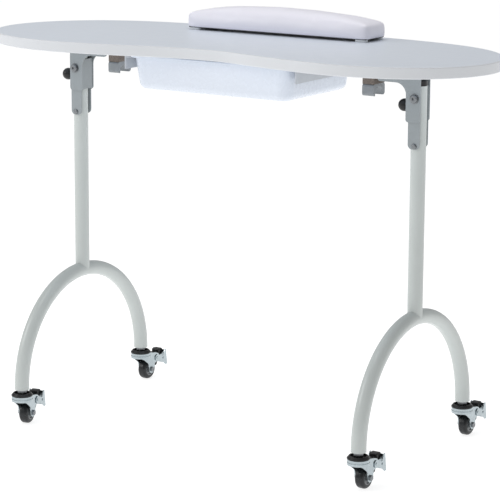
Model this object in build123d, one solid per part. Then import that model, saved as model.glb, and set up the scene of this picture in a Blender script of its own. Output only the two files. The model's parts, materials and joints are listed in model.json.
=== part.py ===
from build123d import *
import os

# Folding manicure table: kidney-shaped top, two inward-folding legs on arched feet with four
# locking casters, a drawer under the concave side and a wrist cushion on the far side.
# X runs along the top, -Y is the concave working side, +Z is up, and z = 0 is the floor.
# Parts are built with y = 0 in the plane of the legs and moved by leg_plane_y when written.

# ---- driving dimensions, millimetres ----
top_height = 714.0
top_thickness = 19.0
band_thickness = 2.0
leg_x = 355.0                  # leg axis, each side of the middle
arch_radius = 189.5            # centre line of the arched foot
arch_centre_z = 71.0
arch_end_z = 68.6
tube_r = 13.3
tube_wall = 1.5
pivot_z = 643.0
leg_plane_y = -25.556           # legs' plane in the finished frame
caster_yaw = {"front_left": 13.0, "front_right": 0.0, "rear_left": 0.0, "rear_right": 0.0}

under_z = top_height - top_thickness
half_top = [(0, 206), (180, 201), (300, 186), (400, 149), (470, 82), (500, -15),
            (470, -106), (400, -162), (290, -186), (180, -172), (90, -150), (0, -138)]

# wrist cushion
pad_length = 391.0
pad_depth = 80.0
pad_y = 143.0
pad_foot_height = 4.0
pad_board_thickness = 6.0
pad_end_z = top_height + 29.0
pad_crown_z = top_height + 42.0

# drawer and its runners
drawer_rim_z = 692.0
drawer_floor_z = 630.0
drawer_top_size = (327.0, 233.0)
drawer_bottom_size = (313.0, 214.0)
drawer_y = 3.0
drawer_wall = 2.5
rim_reach = 8.0
rim_lip = 5.0
runner_x = 175.0
runner_drop = 31.0

# leg bracket, measured from the leg axis towards the middle of the table
cheek_gap = 15.8               # half the clear width between the cheeks
sheet = 2.0
cheek_outer = 11.0
cheek_inner = 16.5
cheek_bottom_z = 602.0
bracket_length = 72.0
bracket_depth = 27.0
channel_half = 13.5            # half the clear width of the post's channel
channel_bottom_z = 556.0
channel_screw_z = 561.5
post_top_z = 663.5
pivot_r = 4.0
running_gap = 0.05

# lock
lock_z = pivot_z - 14.5
lock_pin_r = 3.0
knob_r = 11.0
knob_reach = 28.0

# storage clips
clip_x = 266.0
clip_width = 22.0
clip_z = pivot_z + tube_r + 0.7
clip_recess = 2.4              # counterbore that hides the screw's head

# casters, in their own frame: swivel axis at x = y = 0, wheel trailing towards +Y
wheel_r = 20.0
wheel_half = 10.0
trail = 20.0
hub_r = 13.0
axle_r = 3.0
fork_gap = 11.0
fork_sheet = 1.8
raceway_r = 19.3
raceway_top_z = 57.2
brake_y = 37.0
brake_z = 40.0
brake_pin_r = 2.5


# ---- small helpers ----
def block(x0, x1, y0, y1, z0, z1):
    """A box between two corners."""
    return Pos((x0 + x1) / 2, (y0 + y1) / 2, (z0 + z1) / 2) * Box(x1 - x0, y1 - y0, z1 - z0)


def rod_x(r, x0, x1, y, z):
    """A round bar along X."""
    return Pos((x0 + x1) / 2, y, z) * Rot(0, 90, 0) * Cylinder(r, x1 - x0)


def rod_y(r, y0, y1, x, z):
    """A round bar along Y."""
    return Pos(x, (y0 + y1) / 2, z) * Rot(90, 0, 0) * Cylinder(r, y1 - y0)


def rod_z(r, z0, z1, x=0.0, y=0.0):
    """A round bar along Z."""
    return Pos(x, y, (z0 + z1) / 2) * Cylinder(r, z1 - z0)


def plate_xz(outline, y0, y1):
    """Extrude an (x, z) outline from y0 to y1."""
    face = make_face(Plane.XZ.offset(-y0) * outline)
    return extrude(face, amount=y1 - y0, dir=(0, 1, 0))


def plate_yz(outline, x0, x1):
    """Extrude a (y, z) outline from x0 to x1."""
    face = make_face(Plane.YZ.offset(x0) * outline)
    return extrude(face, amount=x1 - x0, dir=(1, 0, 0))


def turned(outline):
    """Turn a closed (radius, z) outline about Z."""
    return revolve(make_face(Plane.XZ * outline), Axis.Z)


def hex_nut(across_flats, height, bore):
    """A hexagon nut standing on z = 0."""
    body = extrude(RegularPolygon(across_flats / 2, 6, major_radius=False), amount=height)
    return body - rod_z(bore, -1, height + 1)


def save(name, *solids):
    """Move solids into the finished frame and write one STEP file."""
    moved = [Pos(0, leg_plane_y, 0) * s for s in solids]
    shape = moved[0] if len(moved) == 1 else Compound(children=moved)
    export_step(shape, f"parts/{name}.step")


# ---- table top ----
def top_face(points):
    """A kidney outline: one spline and its mirror image, level where they meet."""
    right = Spline(*points, tangents=[(1, 0), (-1, 0)])
    left = Spline(*[(-x, y) for x, y in reversed(points)], tangents=[(-1, 0), (1, 0)])
    return make_face(Wire([right, left]))


def inset_points(inset, stations=28):
    """Points along the half outline, moved inwards by inset."""
    half = Spline(*half_top, tangents=[(1, 0), (-1, 0)])
    points = []
    for k in range(stations + 1):
        along = half % (k / stations)
        moved = half @ (k / stations) + Vector(along.Y, -along.X) * inset
        points.append((moved.X, moved.Y))
    return points


def table_top():
    """The board and the plastic band round it."""
    core = top_face(inset_points(band_thickness))
    board = Pos(0, 0, under_z) * extrude(core, amount=top_thickness)
    solid = Pos(0, 0, under_z) * extrude(top_face(half_top), amount=top_thickness)
    rims = [e for f in (solid.faces().sort_by(Axis.Z)[0], solid.faces().sort_by(Axis.Z)[-1])
            for e in f.edges()]
    band = fillet(rims, radius=1.6) - board
    return board, band


# ---- screws into the underside ----
def wood_screw(x, y, z, length, r=1.8, head_r=4.0):
    """A pan-head screw driven upwards, its head under z."""
    shank = rod_z(r, z, z + length, x, y)
    head = rod_z(head_r, z - 2.2, z, x, y)
    head = fillet(head.faces().sort_by(Axis.Z)[0].edges(), radius=1.2)
    return shank + head


def screw_sites():
    """Each screw's x, y, seat height and length."""
    sites = []
    for side in (-1, 1):
        for inward in (30, 60):
            for y in (-8, 8):
                sites.append((side * (leg_x - inward), y, under_z - sheet, 14))
        for y in (-95, 0, 95):
            sites.append((side * (runner_x + 11), drawer_y + y, under_z - sheet, 13))
        sites.append((side * clip_x, 0, clip_z + clip_recess, 48))
        sites.append((side * 150, pad_y, under_z, 28))
    return sites


def screw_hole(site):
    """The hole that a screw's shank fills."""
    x, y, z, length = site
    return rod_z(1.8, z, z + length, x, y)


# ---- wrist cushion ----
def cushion_parts():
    """The crowned cushion, its board and its feet."""
    half = pad_length / 2
    base_z = top_height + pad_foot_height
    front = pad_y - pad_depth / 2
    back = pad_y + pad_depth / 2
    board = block(-half + 8, half - 8, front + 8, back - 8, base_z, base_z + pad_board_thickness)
    crown = Line((-half, base_z), (half, base_z))
    crown += Line((half, base_z), (half, pad_end_z - 6))
    crown += Spline((half, pad_end_z - 6), (half * 0.72, pad_crown_z - 2), (0, pad_crown_z),
                    (-half * 0.72, pad_crown_z - 2), (-half, pad_end_z - 6))
    crown += Line((-half, pad_end_z - 6), (-half, base_z))
    cushion = plate_xz(crown, front, back) - board
    feet = []
    for sx in (-1, 1):
        for sy in (-1, 1):
            foot = Pos(sx * (half - 20), pad_y + sy * (pad_depth / 2 - 13), base_z - pad_foot_height)
            body = foot * extrude(SlotOverall(24, 13), amount=pad_foot_height)
            feet.append(fillet(body.faces().sort_by(Axis.Z)[0].edges(), radius=0.8))
    return cushion, board, feet


# ---- drawer ----
def tub_solid(grow, floor_z, top_z):
    """A tapered, round-cornered block; grow is added to its half width and half depth."""
    tw, td = drawer_top_size
    bw, bd = drawer_bottom_size
    low = Pos(0, drawer_y, floor_z) * RectangleRounded(bw + 2 * grow, bd + 2 * grow, 22 + grow)
    high = Pos(0, drawer_y, top_z) * RectangleRounded(tw + 2 * grow, td + 2 * grow, 26 + grow)
    body = loft([low, high])
    return fillet(body.faces().sort_by(Axis.Z)[0].edges(), radius=13 + grow)


def drawer_tub():
    """The moulded tub with its turned-down rim."""
    tw, td = drawer_top_size
    outer = tub_solid(0, drawer_floor_z, drawer_rim_z)
    rim = extrude(RectangleRounded(tw + 2 * rim_reach, td + 2 * rim_reach, 26 + rim_reach), amount=rim_lip)
    under = extrude(RectangleRounded(tw + 2 * rim_reach - 4, td + 2 * rim_reach - 4, 24 + rim_reach),
                    amount=rim_lip - 2.2)
    rim = fillet(rim.faces().sort_by(Axis.Z)[-1].edges(), radius=1.6) - under
    body = outer + Pos(0, drawer_y, drawer_rim_z - rim_lip) * rim
    return body - tub_solid(-drawer_wall, drawer_floor_z + drawer_wall, drawer_rim_z + 0.01)


def drawer_runner(side):
    """A hanging runner: screw flange, web and the ledge that carries the drawer's rim."""
    y0 = drawer_y - 112
    y1 = drawer_y + 116
    ledge_top = drawer_rim_z - rim_lip - 0.3
    web = block(runner_x, runner_x + sheet, y0, y1, under_z - runner_drop, under_z)
    flange = block(runner_x, runner_x + 20, y0, y1, under_z - sheet, under_z)
    ledge = block(runner_x - 9, runner_x, y0, y1, ledge_top - sheet, ledge_top)
    runner = web + flange + ledge
    return runner if side > 0 else mirror(runner, about=Plane.YZ)


# ---- storage clips ----
def storage_clip(side):
    """The two-lipped clip that a folded post snaps into."""
    x0 = side * clip_x - clip_width / 2
    lip_z = pivot_z - 2.5
    outline = FilletPolyline((-20, clip_z + 4), (-20, lip_z), (20, lip_z), (20, clip_z + 4),
                             radius=5, close=True)
    body = plate_yz(outline, x0, x0 + clip_width)
    body -= rod_x(tube_r + 0.3, x0 - 1, x0 + clip_width + 1, 0, pivot_z)
    body -= rod_z(4.4, pivot_z, clip_z + clip_recess, side * clip_x)
    return body


def spacer_block(side):
    """The block between a clip and the top."""
    x = side * clip_x
    block_z = clip_z + 4
    return block(x - clip_width / 2, x + clip_width / 2, -19, 19, block_z, under_z)


# ---- leg brackets ----
def bracket(side):
    """The fixed bracket: a screwed web and two gusset-shaped cheeks, open below."""
    flange_z = under_z - bracket_depth
    sweep_r = 20.0
    cheek = FilletPolyline((-cheek_outer, under_z), (-cheek_outer, cheek_bottom_z),
                           (cheek_inner, cheek_bottom_z), (cheek_inner, flange_z),
                           (bracket_length, flange_z), (bracket_length, under_z),
                           radius=[1.5, 5, 5, sweep_r, 6, 1.5], close=True)
    outer = cheek_gap + sheet
    body = plate_xz(cheek, -outer, -cheek_gap) + plate_xz(cheek, cheek_gap, outer)
    body += block(-cheek_outer, bracket_length, -outer, outer, under_z - sheet, under_z)
    body -= rod_y(pivot_r, -outer - 1, outer + 1, 0, pivot_z)
    return on_leg(body, side)


def on_leg(shape, side):
    """Move a shape, whose +X points inwards, onto the left or right leg axis."""
    if side > 0:
        shape = mirror(shape, about=Plane.YZ)
    return Pos(side * leg_x, 0, 0) * shape


def pivot_bolt(side):
    """Bolt, washers and nut through the cheeks and the channel."""
    outer = cheek_gap + sheet
    x = side * leg_x
    bolt = rod_y(pivot_r, -outer - 1.5, outer + 8.5, x, pivot_z)
    head = rod_y(7.0, -outer - 5.5, -outer - 1.5, x, pivot_z)
    head = fillet(head.faces().sort_by(Axis.Y)[0].edges(), radius=2.2)
    socket = Pos(x, -outer - 5.6, pivot_z) * Rot(-90, 0, 0) * extrude(RegularPolygon(2.5, 6), amount=2.2)
    washer = rod_y(8.5, -outer - 1.5, -outer, x, pivot_z) - rod_y(pivot_r, -outer - 2, -outer + 1, x, pivot_z)
    rear = rod_y(8.5, outer, outer + 1.5, x, pivot_z) - rod_y(pivot_r, outer - 1, outer + 2, x, pivot_z)
    nut = Pos(x, outer + 1.5, pivot_z) * Rot(-90, 0, 0) * hex_nut(13, 6, pivot_r)
    return [bolt + head - socket, washer, rear, nut]


# ---- legs ----
def leg_arch():
    """The arched foot tube: a half ring and two short straight ends."""
    section = Circle(tube_r) - Circle(tube_r - tube_wall)
    axis = Axis((0, 0, arch_centre_z), (-1, 0, 0))
    arch = revolve(Pos(0, -arch_radius, arch_centre_z) * section, axis, revolution_arc=180)
    for y in (-arch_radius, arch_radius):
        arch += Pos(0, y, arch_end_z) * extrude(section, amount=arch_centre_z - arch_end_z)
    return arch


def leg_post():
    """The upright tube, coped onto the arch and drilled for pivot, lock pin and screw."""
    low = arch_centre_z + arch_radius
    post = rod_z(tube_r, low, post_top_z) - rod_z(tube_r - tube_wall, low - 1, post_top_z + 1)
    post -= Pos(0, 0, arch_centre_z) * Rot(0, 90, 0) * Torus(arch_radius, tube_r)
    post -= rod_y(pivot_r + running_gap, -20, 20, 0, pivot_z)
    post -= rod_y(2.5, -20, 20, 0, channel_screw_z)
    post -= rod_x(lock_pin_r + running_gap, -20, 0, 0, lock_z)
    return post.solids().sort_by(SortBy.VOLUME)[-1]


def leg_channel(side):
    """The channel round the post's top: a web on the inner side and two long straps."""
    outer = channel_half + sheet
    strap = FilletPolyline((-10, post_top_z), (-10, channel_bottom_z), (12.5, channel_bottom_z),
                           (12.5, cheek_bottom_z), (outer, cheek_bottom_z), (outer, post_top_z),
                           radius=[4, 8, 8, 2, 2, 4], close=True)
    body = plate_xz(strap, -outer, -channel_half) + plate_xz(strap, channel_half, outer)
    body += block(channel_half, outer, -channel_half, channel_half, cheek_bottom_z + 2, post_top_z - 4)
    body -= rod_y(pivot_r + running_gap, -20, 20, 0, pivot_z)
    body -= rod_y(2.5, -20, 20, 0, channel_screw_z)
    if side > 0:
        body -= rod_x(lock_pin_r + running_gap, 0, 20, 0, lock_z)
    return on_leg(body, side)


def channel_screw(side):
    """The screw and nut that clamp the channel to the post."""
    outer = channel_half + sheet
    x = side * leg_x
    screw = rod_y(2.5, -outer, outer + 5, x, channel_screw_z)
    head = rod_y(4.5, -outer - 2.8, -outer, x, channel_screw_z)
    head = fillet(head.faces().sort_by(Axis.Y)[0].edges(), radius=1.8)
    nut = Pos(x, outer, channel_screw_z) * Rot(-90, 0, 0) * hex_nut(8, 4, 2.5)
    return [screw + head, nut]


def post_cap(side):
    """The end plug of the post."""
    x = side * leg_x
    head = rod_z(tube_r, post_top_z, post_top_z + 10, x)
    head = fillet(head.faces().sort_by(Axis.Z)[-1].edges(), radius=2)
    return head + rod_z(tube_r - tube_wall, post_top_z - 8, post_top_z, x)


# ---- lock pins: both knobs face -X ----
def lock_knob():
    """The ball that pulls the lock pin."""
    neck = rod_x(5.0, -knob_reach + 7, -channel_half - sheet - 0.4, 0, lock_z)
    ball = Pos(-knob_reach, 0, lock_z) * Sphere(knob_r)
    return ball + neck - rod_x(lock_pin_r, -knob_reach, 0, 0, lock_z)


def lock_pin():
    """The pin with the collar that its spring pushes on."""
    return rod_x(lock_pin_r, -knob_reach, 6, 0, lock_z) + rod_x(5.5, -2, 0, 0, lock_z)


def lock_spring():
    """The coil spring between the tube's wall and the pin's collar."""
    coil = Helix(pitch=2.2, height=7.9, radius=4.4)
    profile = Plane(origin=coil @ 0, z_dir=coil % 0) * Circle(0.45)
    spring = sweep(profile, path=coil, is_frenet=True)
    return Pos(-10.5, 0, lock_z) * Rot(0, 90, 0) * spring


# ---- casters ----
def place_caster(shape, corner):
    """Turn a caster part by its yaw and move it under the arch's end."""
    side = 1 if "right" in corner else -1
    end = 1 if "rear" in corner else -1
    return Pos(side * leg_x, end * arch_radius, 0) * Rot(0, 0, caster_yaw[corner]) * shape


def caster_stem():
    """Stem, its nut and the socket in the tube's end."""
    head_z = 50.0
    stem = rod_z(5.0, head_z, 84) + rod_z(8.5, head_z, head_z + 2.6)
    nut = Pos(0, 0, 62.6) * hex_nut(16, 6, 5.0)
    plug = rod_z(tube_r - tube_wall - 0.2, arch_end_z, 78) - rod_z(5.0, arch_end_z - 1, 79)
    return [stem, nut, plug]


def lock_plate():
    """The black toothed ring over the raceway."""
    low = raceway_top_z + 0.3
    profile = Polyline((5.0, low), (19.7, low), (19.7, low + 1.2), (16.4, low + 5.0), (13.8, low + 5.0),
                       (13.2, low + 1.4), (7.5, low + 1.4), (7.5, 62.6), (5.0, 62.6), close=True)
    ring = turned(profile)
    notch = block(13, 15.0, -1.0, 1.0, low + 2.4, low + 7)
    for k in range(20):
        ring -= Rot(0, 0, k * 18) * notch
    return ring


def fork():
    """Pressed fork: raceway head, two side plates and the ears of the brake pin."""
    head = Polyline((5.05, 55.4), (17.7, 55.4), (17.7, 47.0), (raceway_r, 47.0), (raceway_r, 51.2),
                    (18.5, 51.8), (18.5, 52.8), (raceway_r, 53.4), (raceway_r, 56.6), (18.7, raceway_top_z),
                    (5.05, raceway_top_z), close=True)
    body = turned(head)
    side_plate = FilletPolyline((-11.6, 56.3), (-11.6, 46), (-6, 43), (8.5, 33), (12.3, 12.5), (27.7, 12.5),
                                (30.5, 31), (44.5, 33), (44.5, 47), (34, 51), (11.6, 54.9), (11.6, 56.3),
                                radius=[0, 3, 6, 9, 7, 7, 4, 6, 6, 4, 0, 0], close=True)
    for x0, x1 in ((-fork_gap - fork_sheet, -fork_gap), (fork_gap, fork_gap + fork_sheet)):
        body += plate_yz(side_plate, x0, x1)
    body -= rod_x(axle_r, -20, 20, trail, wheel_r)
    body -= rod_x(brake_pin_r + running_gap, -20, 20, brake_y, brake_z)
    return body


def tyre():
    """Rubber tyre."""
    w = wheel_half
    profile = FilletPolyline((hub_r, -w + 1.5), (wheel_r, -w), (wheel_r, w), (hub_r, w - 1.5),
                             radius=[0.6, 5.5, 5.5, 0.6], close=True)
    return on_axle(turned(profile))


def hub():
    """Grey hub with raised rings and a boss at the axle."""
    w = wheel_half - 2.5
    bore = axle_r + running_gap
    profile = Polyline((bore, -10.6), (5.5, -10.6), (6.2, -w + 1), (10.2, -w + 1), (10.8, -w - 1),
                       (hub_r, -w - 1), (hub_r, w + 1), (10.8, w + 1), (10.2, w - 1), (6.2, w - 1),
                       (5.5, 10.6), (bore, 10.6), close=True)
    return on_axle(turned(profile))


def on_axle(shape):
    """Lay a turned part along the wheel's axle."""
    return Pos(0, trail, wheel_r) * Rot(0, 90, 0) * shape


def axle():
    """Axle bolt and nut."""
    edge = fork_gap + fork_sheet
    bolt = rod_x(axle_r, -edge - 3.6, edge, trail, wheel_r)
    head = Pos(edge, trail, wheel_r) * Rot(0, 90, 0) * hex_nut(9, 2.8, 0.8)
    nut = Pos(-edge, trail, wheel_r) * Rot(0, -90, 0) * hex_nut(9, 3.2, axle_r)
    return [bolt + head, nut]


def brake_lever():
    """Pressed brake lever: two cheeks, a rear web and its pin."""
    inner = fork_gap + fork_sheet + 0.4
    outer = inner + 1.3
    cheek = FilletPolyline((31, 36), (31, 44), (37, 47), (45, 43.5), (56, 40), (63, 51), (66.5, 52),
                           (71, 21), (66, 20), (51, 31), (37, 33),
                           radius=[3, 3, 3, 3, 2, 1.5, 1.0, 1.5, 1.5, 4, 3], close=True)
    web = FilletPolyline((64.6, 50), (65.9, 50.3), (70.2, 22.3), (68.9, 22), radius=0.3, close=True)
    lever = plate_yz(cheek, -outer, -inner) + plate_yz(cheek, inner, outer)
    lever += plate_yz(web, -outer, outer)
    for sx in (-1, 1):
        x = sx * outer
        lever += rod_x(2.2, min(x, x + sx), max(x, x + sx), 58, 35)
    return lever + rod_x(brake_pin_r, -outer - 0.8, outer + 0.8, brake_y, brake_z)


def brake_pedal():
    """Black pedal pad, its arm and the brake shoe behind the tyre."""
    pad = fillet(block(-8.5, 8.5, 49, 63.5, 41, 54).edges(), radius=2.5)
    arm = block(-5, 5, 29, 51, 43.5, 49) + block(-5, 5, 42, 50, 36, 45)
    shoe = FilletPolyline((40.6, 38), (40.6, 22), (45, 24), (50, 38), radius=1, close=True)
    return pad + arm + plate_yz(shoe, -7, 7) - rod_x(brake_pin_r, -10, 10, brake_y, brake_z)


# ---- build and write ----
os.makedirs("parts", exist_ok=True)

sites = screw_sites()
holes = [screw_hole(s) for s in sites]
top_board, edge_band = table_top()
cushion, pad_board, feet = cushion_parts()
save("tabletop_board", top_board - holes)
save("edge_band", edge_band)
save("wrist_cushion", cushion)
save("cushion_board", pad_board - holes)
save("cushion_feet", *feet)
save("underside_screws", *[wood_screw(*s) for s in sites])
save("drawer_tub", drawer_tub())
save("pivot_bolts", *pivot_bolt(-1), *pivot_bolt(1))

for side, name in ((-1, "left"), (1, "right")):
    save(f"drawer_runner_{name}", drawer_runner(side) - holes)
    save(f"leg_bracket_{name}", bracket(side) - holes)
    save(f"storage_clip_{name}", storage_clip(side) - holes)
    save(f"clip_spacer_{name}", spacer_block(side) - holes)
    save(f"leg_post_{name}", Pos(side * leg_x, 0, 0) * leg_post())
    save(f"leg_arch_{name}", Pos(side * leg_x, 0, 0) * leg_arch())
    save(f"leg_channel_{name}", leg_channel(side))
    save(f"channel_screw_{name}", *channel_screw(side))
    save(f"post_cap_{name}", post_cap(side))
    save(f"lock_knob_{name}", Pos(side * leg_x, 0, 0) * lock_knob())
    save(f"lock_pin_{name}", Pos(side * leg_x, 0, 0) * lock_pin())
    save(f"lock_spring_{name}", Pos(side * leg_x, 0, 0) * lock_spring())
    ends = [c for c in caster_yaw if c.endswith(name)]
    save(f"caster_stems_{name}", *[place_caster(s, c) for c in ends for s in caster_stem()])
    save(f"caster_lock_plates_{name}", *[place_caster(lock_plate(), c) for c in ends])

for corner in caster_yaw:
    save(f"caster_fork_{corner}", place_caster(fork(), corner))
    save(f"caster_tyre_{corner}", place_caster(tyre(), corner))
    save(f"caster_hub_{corner}", place_caster(hub(), corner))
    save(f"caster_axle_{corner}", *[place_caster(s, corner) for s in axle()])
    save(f"brake_lever_{corner}", place_caster(brake_lever(), corner))
    save(f"brake_pedal_{corner}", place_caster(brake_pedal(), corner))
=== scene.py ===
import json
import math

import bmesh
import bpy
from mathutils import Matrix, Vector, noise


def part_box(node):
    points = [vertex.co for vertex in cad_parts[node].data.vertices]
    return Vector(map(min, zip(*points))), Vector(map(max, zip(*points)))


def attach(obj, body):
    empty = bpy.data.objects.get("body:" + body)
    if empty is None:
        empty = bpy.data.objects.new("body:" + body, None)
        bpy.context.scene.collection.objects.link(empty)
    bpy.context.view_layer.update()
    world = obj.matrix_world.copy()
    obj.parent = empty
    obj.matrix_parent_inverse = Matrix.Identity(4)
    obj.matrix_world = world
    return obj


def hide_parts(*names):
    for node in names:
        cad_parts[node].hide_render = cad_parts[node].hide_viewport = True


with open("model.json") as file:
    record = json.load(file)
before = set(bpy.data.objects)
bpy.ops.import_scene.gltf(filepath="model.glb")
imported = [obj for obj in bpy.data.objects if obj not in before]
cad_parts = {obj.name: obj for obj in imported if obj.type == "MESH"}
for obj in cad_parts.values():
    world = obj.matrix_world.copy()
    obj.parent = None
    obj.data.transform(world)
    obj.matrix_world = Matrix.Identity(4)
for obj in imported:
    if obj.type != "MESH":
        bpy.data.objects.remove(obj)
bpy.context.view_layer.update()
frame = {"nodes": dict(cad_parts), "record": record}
nodes = frame["nodes"]

# ---- camera ----
CAM_POS = Vector((2.1346, -3.3759, 1.1775))
CAM_TARGET = Vector((0.0132, -0.0172, 0.3383))
CAM_ROLL = math.radians(0.33)
FOCAL_PX = 2258.0
SENSOR_MM = 36.0
IMAGE_PX = 500.0


def add_camera():
    data = bpy.data.cameras.new("camera")
    data.sensor_width = SENSOR_MM
    data.lens = FOCAL_PX * SENSOR_MM / IMAGE_PX
    data.clip_end = 50.0
    cam = bpy.data.objects.new("camera", data)
    bpy.context.scene.collection.objects.link(cam)
    look = (CAM_TARGET - CAM_POS).normalized()
    turn = look.to_track_quat("-Z", "Y").to_matrix().to_4x4()
    cam.matrix_world = Matrix.Translation(CAM_POS) @ turn @ Matrix.Rotation(CAM_ROLL, 4, "Z")
    bpy.context.scene.camera = cam


# ---- light and floor ----
def add_area(name, place, target, size, watts):
    data = bpy.data.lights.new(name, "AREA")
    data.shape = "RECTANGLE"
    data.size, data.size_y = size
    data.energy = watts
    obj = bpy.data.objects.new(name, data)
    bpy.context.scene.collection.objects.link(obj)
    look = Vector(target) - Vector(place)
    obj.matrix_world = Matrix.Translation(place) @ look.to_track_quat("-Z", "Y").to_matrix().to_4x4()


def add_studio():
    world = bpy.data.worlds.new("studio")
    bpy.context.scene.world = world
    world.use_nodes = True
    back = world.node_tree.nodes["Background"]
    back.inputs["Color"].default_value = (1.0, 1.0, 1.0, 1.0)
    back.inputs["Strength"].default_value = 0.40
    add_area("key_light", (-2.6, -2.4, 2.2), (0, 0, 0.45), (1.8, 1.6), 38.0)
    add_area("top_light", (-0.2, 0.1, 3.0), (0, 0, 0.7), (2.4, 1.6), 28.0)
    view = bpy.context.scene.view_settings
    view.view_transform = "Standard"
    view.look = "None"
    bpy.ops.mesh.primitive_plane_add(size=60.0, location=(0, 0, -0.0006))
    floor = bpy.context.object
    floor.name = "floor"
    mat = bpy.data.materials.new("floor_white")
    mat.use_nodes = True
    tree = mat.node_tree
    shader = tree.nodes["Principled BSDF"]
    shader.inputs["Base Color"].default_value = (0.5, 0.5, 0.5, 1)
    shader.inputs["Roughness"].default_value = 0.9
    shader.inputs["Emission Color"].default_value = (1, 1, 1, 1)
    shader.inputs["Emission Strength"].default_value = 0.80
    floor.data.materials.append(mat)


# ---- materials ----
def linear(rgb):
    """sRGB 0-255 to linear 0-1."""
    out = []
    for v in rgb:
        v = v / 255.0
        out.append(v / 12.92 if v <= 0.04045 else ((v + 0.055) / 1.055) ** 2.4)
    return out


def shade(rgb, k):
    return tuple(min(1.0, c * k) for c in rgb) + (1.0,)


def coordinates(tree, stretch=(1, 1, 1)):
    coord = tree.nodes.new("ShaderNodeTexCoord")
    mapping = tree.nodes.new("ShaderNodeMapping")
    mapping.inputs["Scale"].default_value = stretch
    tree.links.new(coord.outputs["Object"], mapping.inputs["Vector"])
    return mapping.outputs["Vector"]


def noise_node(tree, vector, scale, detail=4.0, rough=0.55):
    node = tree.nodes.new("ShaderNodeTexNoise")
    node.inputs["Scale"].default_value = scale
    node.inputs["Detail"].default_value = detail
    node.inputs["Roughness"].default_value = rough
    tree.links.new(vector, node.inputs["Vector"])
    return node.outputs["Fac"]


def ramp(tree, fac, low, high, a=0.35, b=0.65):
    node = tree.nodes.new("ShaderNodeValToRGB")
    node.color_ramp.elements[0].position = a
    node.color_ramp.elements[0].color = low
    node.color_ramp.elements[1].position = b
    node.color_ramp.elements[1].color = high
    tree.links.new(fac, node.inputs["Fac"])
    return node.outputs["Color"]


def span(tree, fac, low, high, a=0.3, b=0.7):
    node = tree.nodes.new("ShaderNodeMapRange")
    node.inputs["From Min"].default_value = a
    node.inputs["From Max"].default_value = b
    node.inputs["To Min"].default_value = low
    node.inputs["To Max"].default_value = high
    tree.links.new(fac, node.inputs["Value"])
    return node.outputs["Result"]


def bump(tree, height, strength, distance, below=None):
    node = tree.nodes.new("ShaderNodeBump")
    node.inputs["Strength"].default_value = strength
    node.inputs["Distance"].default_value = distance
    tree.links.new(height, node.inputs["Height"])
    if below is not None:
        tree.links.new(below, node.inputs["Normal"])
    return node.outputs["Normal"]


def surface(name, rgb, rough, metallic=0.0, spread=0.04, tone=9.0, grain=600.0, depth=0.00005,
            strength=0.25, rough_spread=0.06, stretch=(1, 1, 1), coat=0.0, specular=0.5):
    """A procedural finish: mottled tone, varied gloss and a fine grain in the bump."""
    mat = bpy.data.materials.new(name)
    mat.use_nodes = True
    tree = mat.node_tree
    shader = tree.nodes["Principled BSDF"]
    shader.inputs["Metallic"].default_value = metallic
    shader.inputs["Coat Weight"].default_value = coat
    shader.inputs["Coat Roughness"].default_value = 0.2
    shader.inputs["Specular IOR Level"].default_value = specular
    base = linear(rgb)
    vector = coordinates(tree)
    fine = coordinates(tree, stretch)
    blotch = noise_node(tree, vector, tone)
    tree.links.new(ramp(tree, blotch, shade(base, 1 - spread), shade(base, 1 + spread * 0.4)),
                   shader.inputs["Base Color"])
    wear = noise_node(tree, fine, grain * 0.12, 5.0)
    tree.links.new(span(tree, wear, max(0.02, rough - rough_spread), rough + rough_spread),
                   shader.inputs["Roughness"])
    texture = noise_node(tree, fine, grain, 3.0)
    tree.links.new(bump(tree, texture, strength, depth), shader.inputs["Normal"])
    return mat


def wood_surface(name, rgb, dark):
    """Pressed board edge: chips of two tones with a coarse grain."""
    mat = surface(name, rgb, 0.75, spread=0.2, tone=160.0, grain=900.0, depth=0.0002, strength=0.5)
    tree = mat.node_tree
    shader = tree.nodes["Principled BSDF"]
    cells = tree.nodes.new("ShaderNodeTexVoronoi")
    cells.inputs["Scale"].default_value = 420.0
    tree.links.new(coordinates(tree, (1, 1, 2.5)), cells.inputs["Vector"])
    tree.links.new(ramp(tree, cells.outputs["Distance"], shade(linear(dark), 1), shade(linear(rgb), 1),
                        0.1, 0.8), shader.inputs["Base Color"])
    return mat


def leather_surface(name, rgb):
    """Coated leather: soft pebble grain, faint creasing and a satin gloss."""
    mat = surface(name, rgb, 0.42, spread=0.025, tone=14.0, grain=900.0, depth=0.00004, strength=0.15)
    tree = mat.node_tree
    shader = tree.nodes["Principled BSDF"]
    pebble = tree.nodes.new("ShaderNodeTexVoronoi")
    pebble.feature = "SMOOTH_F1"
    pebble.inputs["Scale"].default_value = 750.0
    pebble.inputs["Smoothness"].default_value = 0.6
    tree.links.new(coordinates(tree), pebble.inputs["Vector"])
    grain = bump(tree, pebble.outputs["Distance"], 0.22, 0.00012)
    crease = noise_node(tree, coordinates(tree, (1.0, 1.6, 2.2)), 38.0, 6.0, 0.6)
    tree.links.new(bump(tree, crease, 0.22, 0.0011, grain), shader.inputs["Normal"])
    shader.inputs["Sheen Weight"].default_value = 0.05
    return mat


def steel_surface(name, rgb, rough, stretch=(1, 1, 1), grain=500.0, spread=0.1):
    return surface(name, rgb, rough, metallic=1.0, spread=spread, tone=60.0, grain=grain, depth=0.00003,
                   strength=0.25, rough_spread=0.09, stretch=stretch)


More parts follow.
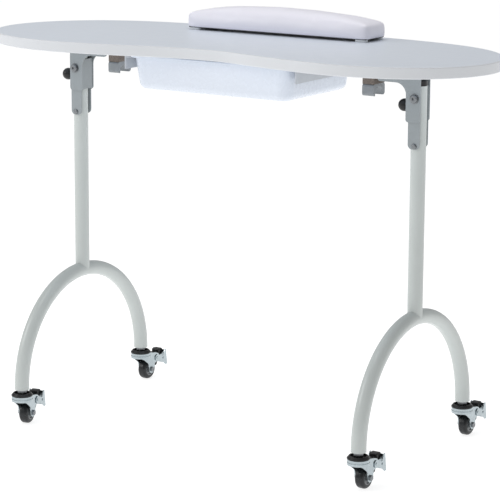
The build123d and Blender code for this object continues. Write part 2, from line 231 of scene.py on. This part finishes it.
def make_materials():
    return {
        "white_board": surface("white_board", (219, 226, 236), 0.33, spread=0.012, tone=5.0, grain=420.0,
                               depth=0.00006, strength=0.3, rough_spread=0.05),
        "white_band": surface("white_band", (222, 225, 229), 0.36, spread=0.02, tone=8.0, grain=300.0,
                              stretch=(1, 1, 6), depth=0.00005, strength=0.35),
        "white_leather": leather_surface("white_leather", (240, 239, 249)),
        "pad_board": wood_surface("pad_board", (64, 62, 60), (40, 38, 36)),
        "clear_feet": surface("clear_feet", (214, 218, 222), 0.25, spread=0.05, tone=80.0, coat=0.3),
        "white_plastic": surface("white_plastic", (226, 233, 244), 0.27, spread=0.015, tone=7.0, grain=700.0,
                                 depth=0.00001, strength=0.2, coat=0.15),
        "grey_plastic": surface("grey_plastic", (196, 200, 205), 0.4, spread=0.04, tone=30.0, grain=700.0),
        "grey_steel": surface("grey_steel", (200, 206, 204), 0.34, spread=0.02, tone=18.0, grain=520.0,
                              depth=0.00010, strength=0.35, rough_spread=0.05, coat=0.2),
        # painted shade: a darker copy of grey_steel that paints the shade falling on the leg brackets' front
        # faces
        "shaded_grey_steel": surface("shaded_grey_steel", (152, 159, 162), 0.36, spread=0.03, tone=22.0, grain=520.0,
                                 depth=0.00010, strength=0.35, rough_spread=0.05, coat=0.2),
        "clip_plastic": surface("clip_plastic", (140, 145, 149), 0.42, spread=0.06, tone=60.0, grain=700.0),
        "spacer_wood": wood_surface("spacer_wood", (132, 122, 114), (88, 78, 70)),
        "zinc": steel_surface("zinc", (136, 139, 142), 0.34),
        "bright_zinc": steel_surface("bright_zinc", (176, 186, 190), 0.2, (1, 1, 4), 300.0, 0.08),
        "hub_plastic": surface("hub_plastic", (112, 117, 120), 0.35, spread=0.1, tone=120.0, coat=0.2),
        "black_plastic": surface("black_plastic", (14, 15, 17), 0.36, spread=0.15, tone=90.0, grain=800.0,
                                 depth=0.0001, strength=0.3),
        "black_rubber": surface("black_rubber", (15, 20, 24), 0.34, spread=0.2, tone=110.0, grain=900.0,
                                depth=0.0001, strength=0.25, rough_spread=0.1),
    }


def dress(obj, mat):
    obj.data.materials.clear()
    obj.data.materials.append(mat)


# ---- wrist cushion, metres ----
PAD_CAP = 0.006            # furthest that a point may swell
PAD_VOXEL = 0.0045
PAD_INSET = 0.0035         # the starting shape is this much smaller all round
PAD_CROWN = 0.0392         # height of the middle over the base
PAD_FALL = 0.0125          # how far the top drops at each end
PAD_CORNER = 0.008
PAD_ACROSS, PAD_ALONG = 20, 78
PAD_LIFT = 0.0004          # base of the cover over the CAD base
PAD_SKIRT = 0.004          # height of the part held still by the board
PAD_PROUD = 0.002          # the most that the cover stands outside the CAD block
CLOTH_FRAMES = 20
TUCK_REACH, TUCK_HEIGHT, TUCK_DEPTH = 0.030, 0.024, 0.0011
TUCK_FOLDS = 17.0
WAVE_DEPTH = 0.0007


def pad_shell(low, high):
    """The cushion's starting shape: a rounded block whose top falls away towards both ends."""
    cx, cy = (low[0] + high[0]) / 2, (low[1] + high[1]) / 2
    hx, hy = (high[0] - low[0]) / 2 - PAD_INSET, (high[1] - low[1]) / 2 - PAD_INSET
    z0 = low[2] + PAD_LIFT
    mesh = bpy.data.meshes.new("wrist_cushion_cover")
    bm = bmesh.new()
    ring = []
    for k in range(PAD_ALONG + 1):
        x = hx * (-1 + 2 * k / PAD_ALONG)
        end = max(0.0, (abs(x) - (hx - PAD_CORNER)) / PAD_CORNER)
        pull = PAD_CORNER * (1 - math.sqrt(max(0.0, 1 - end * end)))
        half = hy - pull
        top = z0 + PAD_CROWN - PAD_FALL * (abs(x) / hx) ** 2.6 - 0.35 * pull
        section = []
        for j in range(PAD_ACROSS):
            t = math.pi * j / (PAD_ACROSS - 1)
            y = -math.cos(t)
            yy = half * math.copysign(abs(y) ** 0.22, y)
            zz = z0 + (top - z0) * math.sin(t) ** 0.24
            section.append(bm.verts.new((cx + x, cy + yy, zz)))
        section.append(bm.verts.new((cx + x, cy + half * 0.5, z0)))
        section.append(bm.verts.new((cx + x, cy - half * 0.5, z0)))
        ring.append(section)
    count = len(ring[0])
    for a, b in zip(ring, ring[1:]):
        for j in range(count):
            bm.faces.new((a[j], a[(j + 1) % count], b[(j + 1) % count], b[j]))
    bm.faces.new(ring[0])
    bm.faces.new(list(reversed(ring[-1])))
    bmesh.ops.recalc_face_normals(bm, faces=bm.faces[:])
    bm.to_mesh(mesh)
    bm.free()
    obj = bpy.data.objects.new("wrist_cushion_cover", mesh)
    bpy.context.scene.collection.objects.link(obj)
    return obj


def apply_modifiers(obj):
    bpy.context.view_layer.objects.active = obj
    for o in bpy.context.selected_objects:
        o.select_set(False)
    obj.select_set(True)
    for m in list(obj.modifiers):
        bpy.ops.object.modifier_apply(modifier=m.name)


def inflate(obj, base_z):
    """Cloth under pressure, held along its flat base, with its movement capped."""
    remesh = obj.modifiers.new("voxels", "REMESH")
    remesh.mode = "VOXEL"
    remesh.voxel_size = PAD_VOXEL
    apply_modifiers(obj)
    start = [v.co.copy() for v in obj.data.vertices]
    group = obj.vertex_groups.new(name="held")
    group.add([v.index for v in obj.data.vertices if v.co.z < base_z + PAD_SKIRT], 1.0, "REPLACE")
    cloth = obj.modifiers.new("cloth", "CLOTH")
    cloth.settings.use_pressure = True
    cloth.settings.uniform_pressure_force = 4.0
    cloth.settings.vertex_group_mass = "held"
    cloth.settings.effector_weights.gravity = 0.0
    cloth.settings.quality = 6
    cloth.point_cache.frame_end = CLOTH_FRAMES
    scene = bpy.context.scene
    for f in range(1, CLOTH_FRAMES + 1):
        scene.frame_set(f)
    apply_modifiers(obj)
    scene.frame_set(1)
    for v, home in zip(obj.data.vertices, start):
        moved = v.co - home
        if moved.length > PAD_CAP:
            v.co = home + moved.normalized() * PAD_CAP


def pucker(obj, low, high):
    """Folded corners: the cover gathers into small tucks where it is pulled round the board."""
    for v in obj.data.vertices:
        for cx in (low[0], high[0]):
            for cy in (low[1], high[1]):
                dx, dy = v.co.x - cx, v.co.y - cy
                reach = math.hypot(dx, dy)
                height = (v.co.z - low[2]) / TUCK_HEIGHT
                if reach > TUCK_REACH or height > 1.1 or height < -0.1:
                    continue
                turn = math.atan2(dy * math.copysign(1, -cy), dx * math.copysign(1, -cx))
                near = (1 - reach / TUCK_REACH) * max(0.0, 1.1 - height)
                fold = math.sin(turn * TUCK_FOLDS) * TUCK_DEPTH * near
                away = Vector((dx, dy, 0))
                if away.length > 1e-6:
                    v.co += away.normalized() * -fold
    for v in obj.data.vertices:
        if v.co.z > low[2] + PAD_SKIRT:
            wave = noise.noise(Vector((v.co.x * 26, v.co.y * 34, v.co.z * 30)))
            v.co.z += wave * WAVE_DEPTH


def cushion(mats):
    low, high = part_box("wrist_cushion")
    obj = pad_shell(low, high)
    inflate(obj, low[2])
    pucker(obj, low, high)
    for v in obj.data.vertices:
        v.co.x = min(max(v.co.x, low[0] - PAD_PROUD), high[0] + PAD_PROUD)
        v.co.y = min(max(v.co.y, low[1] - PAD_PROUD), high[1] + PAD_PROUD)
        v.co.z = max(v.co.z, low[2] + 0.0001)
    smooth = obj.modifiers.new("smooth", "SMOOTH")
    smooth.factor = 0.5
    smooth.iterations = 2
    apply_modifiers(obj)
    refine = obj.modifiers.new("refine", "SUBSURF")
    refine.levels = refine.render_levels = 1
    for p in obj.data.polygons:
        p.use_smooth = True
    dress(obj, mats["white_leather"])
    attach(obj, "table")
    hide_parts("wrist_cushion")


mats = make_materials()
for part in frame["record"]["subparts"]:
    # the leg brackets and channels get the darker copy of grey_steel, which paints shade on them
    painted_shade_part = part["node"].startswith(("leg_bracket", "leg_channel"))
    dress(nodes[part["node"]], mats["shaded_grey_steel" if painted_shade_part else part["material_slot"]])
cushion(mats)
add_camera()
add_studio()
